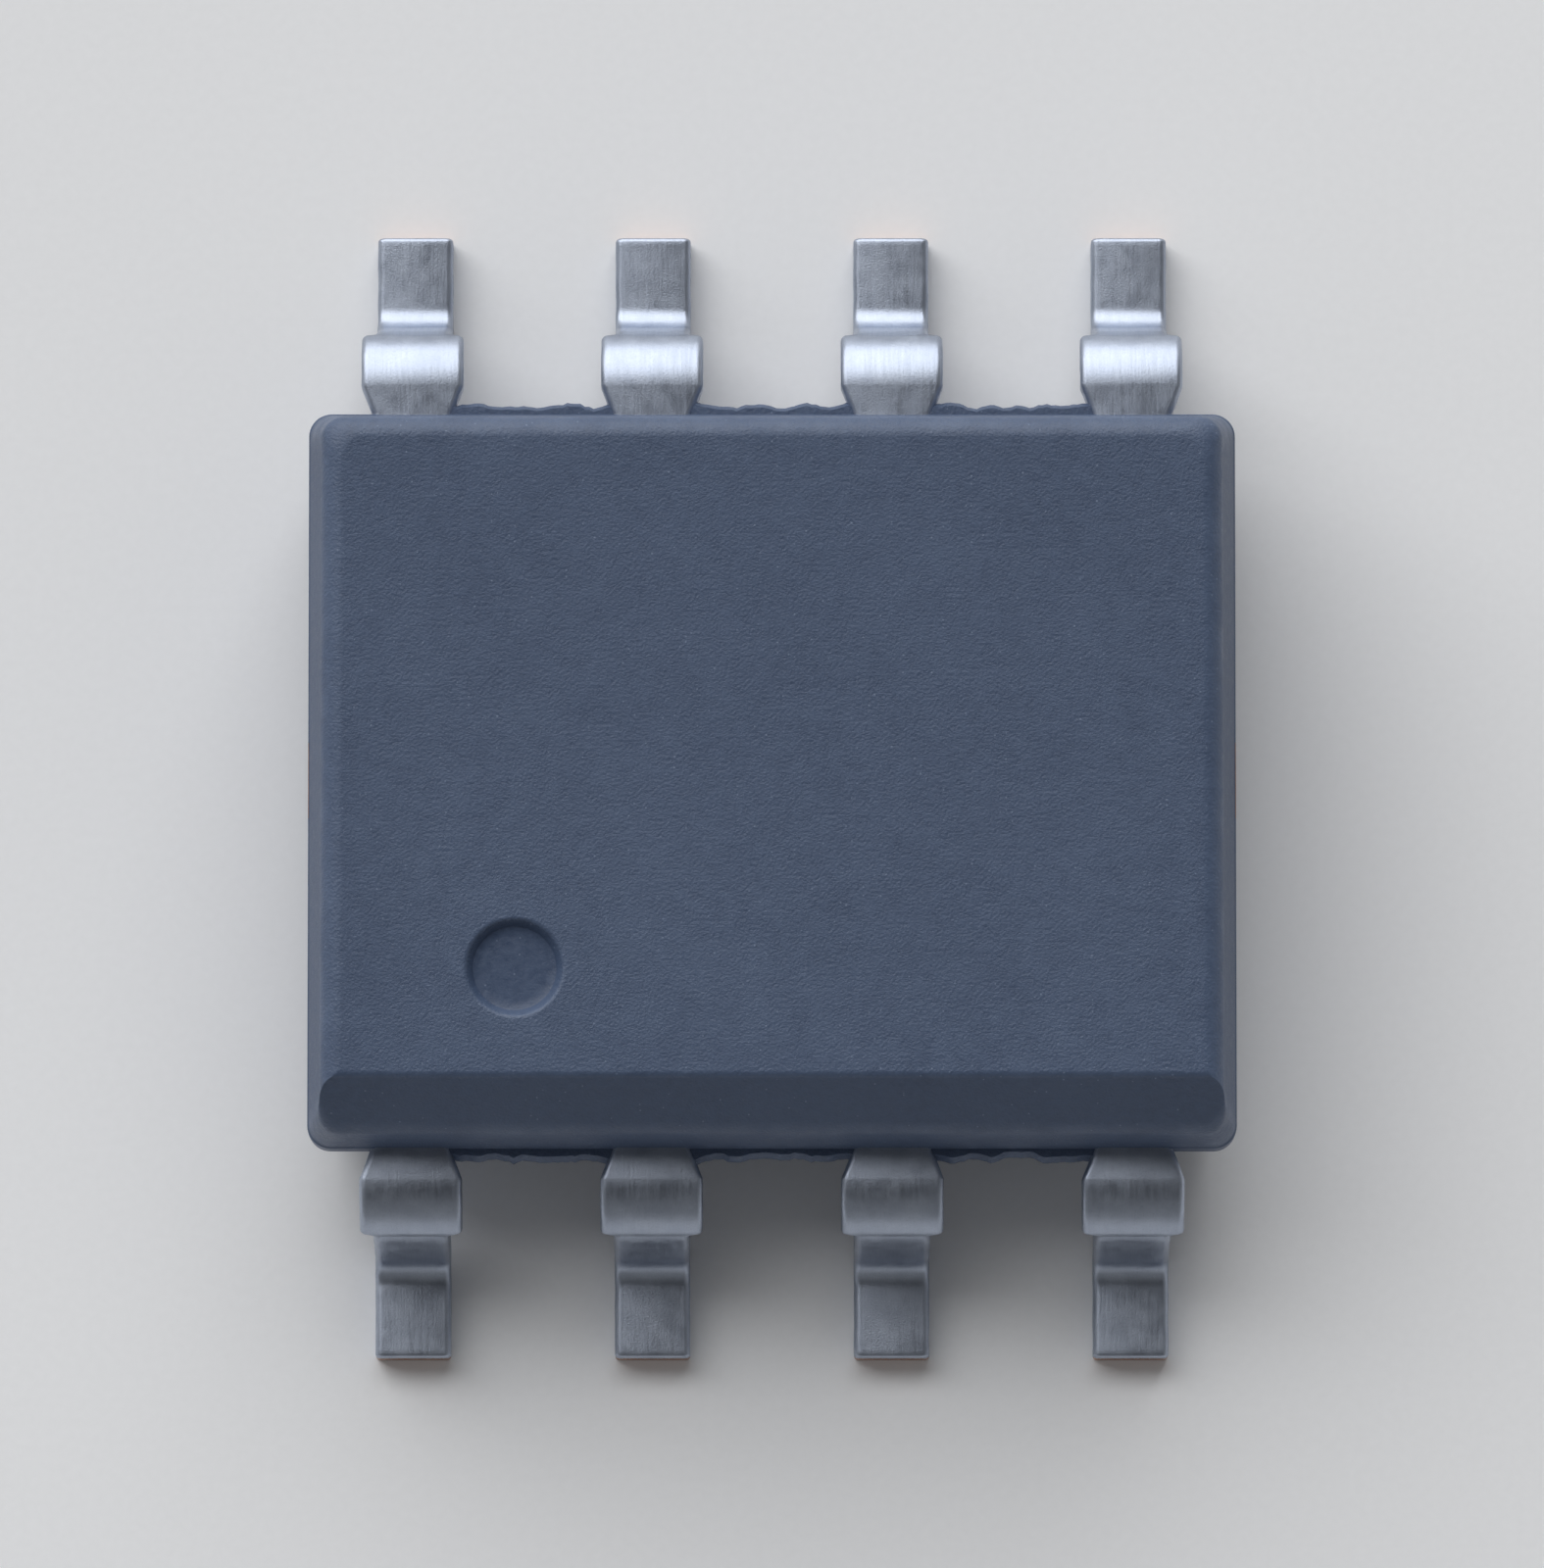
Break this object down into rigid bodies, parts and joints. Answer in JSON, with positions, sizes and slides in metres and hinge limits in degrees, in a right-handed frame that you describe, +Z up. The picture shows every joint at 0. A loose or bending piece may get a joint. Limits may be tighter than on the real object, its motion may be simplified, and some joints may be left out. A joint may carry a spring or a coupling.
{
  "type": "small-outline integrated circuit package",
  "caption": "Surface-mount chip package: a bevelled dark moulded block with gull-wing leads along two sides, and its die, paddle and bond wires inside.",
  "frame": {"origin": "on the seating plane under the feet, below the middle of the body", "axes": "+Z up from the board, +X along the body from leads 1 and 8 to leads 4 and 5, +Y across the body from the row of leads 1 to 4 to the row of leads 5 to 8"},
  "size_m": [0.005, 0.006, 0.0016],
  "materials": {
    "mould_compound": "matte",
    "tin_plated_copper": "satin",
    "paddle_copper": "satin",
    "silver_adhesive": "satin",
    "silicon": "gloss",
    "gold_wire": "polished"
  },
  "bodies": {
    "root": {"mould_body": "mould_compound", "die_paddle": "paddle_copper", "die_attach": "silver_adhesive", "die": "silicon", "lead_1": "tin_plated_copper", "lead_2": "tin_plated_copper", "lead_3": "tin_plated_copper", "lead_4": "tin_plated_copper", "lead_5": "tin_plated_copper", "lead_6": "tin_plated_copper", "lead_7": "tin_plated_copper", "lead_8": "tin_plated_copper", "bond_wire_1": "gold_wire", "bond_wire_2": "gold_wire", "bond_wire_3": "gold_wire", "bond_wire_4": "gold_wire", "bond_wire_5": "gold_wire", "bond_wire_6": "gold_wire", "bond_wire_7": "gold_wire", "bond_wire_8": "gold_wire"}
  },
  "joints": []
}
